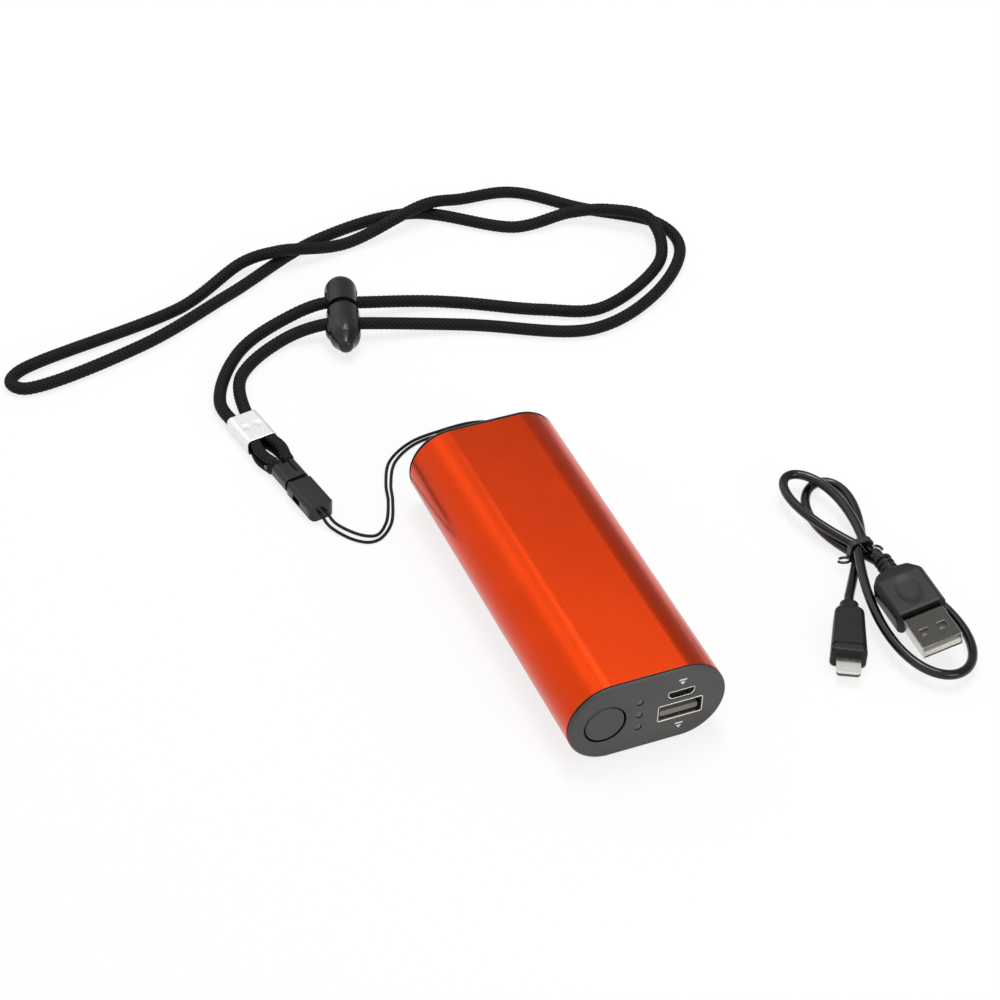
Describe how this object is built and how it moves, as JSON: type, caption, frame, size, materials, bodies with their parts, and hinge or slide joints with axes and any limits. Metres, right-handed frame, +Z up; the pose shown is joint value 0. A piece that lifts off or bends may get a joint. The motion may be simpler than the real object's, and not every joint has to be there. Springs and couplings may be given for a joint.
{
  "type": "rechargeable hand warmer",
  "caption": "Rechargeable pocket hand warmer in an orange aluminium tube with dark end caps, a power button, USB ports, a black neck lanyard and a tied charging lead",
  "frame": {"origin": "Middle of the warmer's footprint, on the plane it lies on", "axes": "-Y is the end with the ports and the button, +X is to the right of someone who looks at that end, +Z is up"},
  "size_m": [0.227, 0.2632, 0.025],
  "materials": {
    "orange_anodized_aluminium": "satin anodised extrusion",
    "dark_cap_plastic": "fine matte moulding",
    "black_rubber": "matte",
    "ivory_plastic": "semi gloss",
    "black_plastic": "matte moulding",
    "green_board": "solder mask",
    "clear_plastic": "clear moulded acrylic",
    "nickel_steel": "nickel plate",
    "gold_contact": "gold flash",
    "ferrite_grey": "sintered ferrite",
    "zinc_steel": "zinc plate",
    "blue_cell_wrap": "shrink sleeve, with the density of a filled lithium cell",
    "amber_film": "polyimide film",
    "grey_silicone": "soft silicone",
    "wire_insulation": "silicone jacket",
    "black_cord": "woven braid",
    "black_gloss_plastic": "polished moulding",
    "bright_crimp_steel": "bright rolled sheet",
    "black_cable_jacket": "soft PVC jacket"
  },
  "bodies": {
    "warmer": {"shell": "orange_anodized_aluminium", "front_cap": "dark_cap_plastic", "rear_cap": "dark_cap_plastic", "front_seal": "black_rubber", "rear_seal": "black_rubber", "tact_switch": "black_plastic", "button_board": "green_board", "charge_leds": "ivory_plastic", "light_guide": "clear_plastic", "usb_a_socket": "nickel_steel", "usb_a_tongue": "ivory_plastic", "usb_a_contacts": "gold_contact", "micro_usb_socket": "nickel_steel", "micro_usb_tongue": "black_plastic", "main_board": "green_board", "power_chips": "black_plastic", "inductor": "ferrite_grey", "battery_connector": "ivory_plastic", "board_screws": "zinc_steel", "cell_left": "blue_cell_wrap", "cell_right": "blue_cell_wrap", "cell_bracket_front": "black_plastic", "cell_bracket_rear": "black_plastic", "cell_strip_front": "nickel_steel", "cell_strip_rear": "nickel_steel", "heater_top": "amber_film", "heater_bottom": "amber_film", "heat_pad_top": "grey_silicone", "heat_pad_bottom": "grey_silicone", "temperature_sensor": "black_plastic", "battery_leads": "wire_insulation", "heater_leads": "wire_insulation", "strap_pin": "zinc_steel", "strap_string": "black_cord", "buckle_socket": "black_gloss_plastic", "charging_cable": "black_cable_jacket", "cable_tie": "black_cable_jacket", "micro_plug_grip": "black_plastic", "micro_plug_shell": "nickel_steel", "micro_plug_tongue": "ivory_plastic", "usb_plug_grip": "black_plastic", "usb_plug_shell": "nickel_steel", "usb_plug_insert": "ivory_plastic"},
    "button": {"power_button": "dark_cap_plastic", "tact_plunger": "ivory_plastic"},
    "lanyard": {"buckle_clip": "black_gloss_plastic", "cord_wraps": "black_cord", "cord_crimp": "bright_crimp_steel", "neck_cord": "black_cord", "lock_barrel": "black_gloss_plastic", "lock_spring": "zinc_steel"},
    "lock_head": {"lock_button": "black_gloss_plastic"}
  },
  "joints": [
    {"name": "power_button_press", "type": "slide", "parent": "warmer", "child": "button", "axis": [0, 1, 0], "range_m": [0, 0.0005], "stiffness_N_per_m": 200},
    {"name": "buckle_release", "type": "slide", "parent": "warmer", "child": "lanyard", "axis": [-0.1702, 0.9854, 0], "range_m": [0, 0.014]},
    {"name": "lock_press", "type": "slide", "parent": "lanyard", "child": "lock_head", "axis": [-0.2924, -0.9563, 0], "range_m": [0, 0.002], "stiffness_N_per_m": 400}
  ]
}
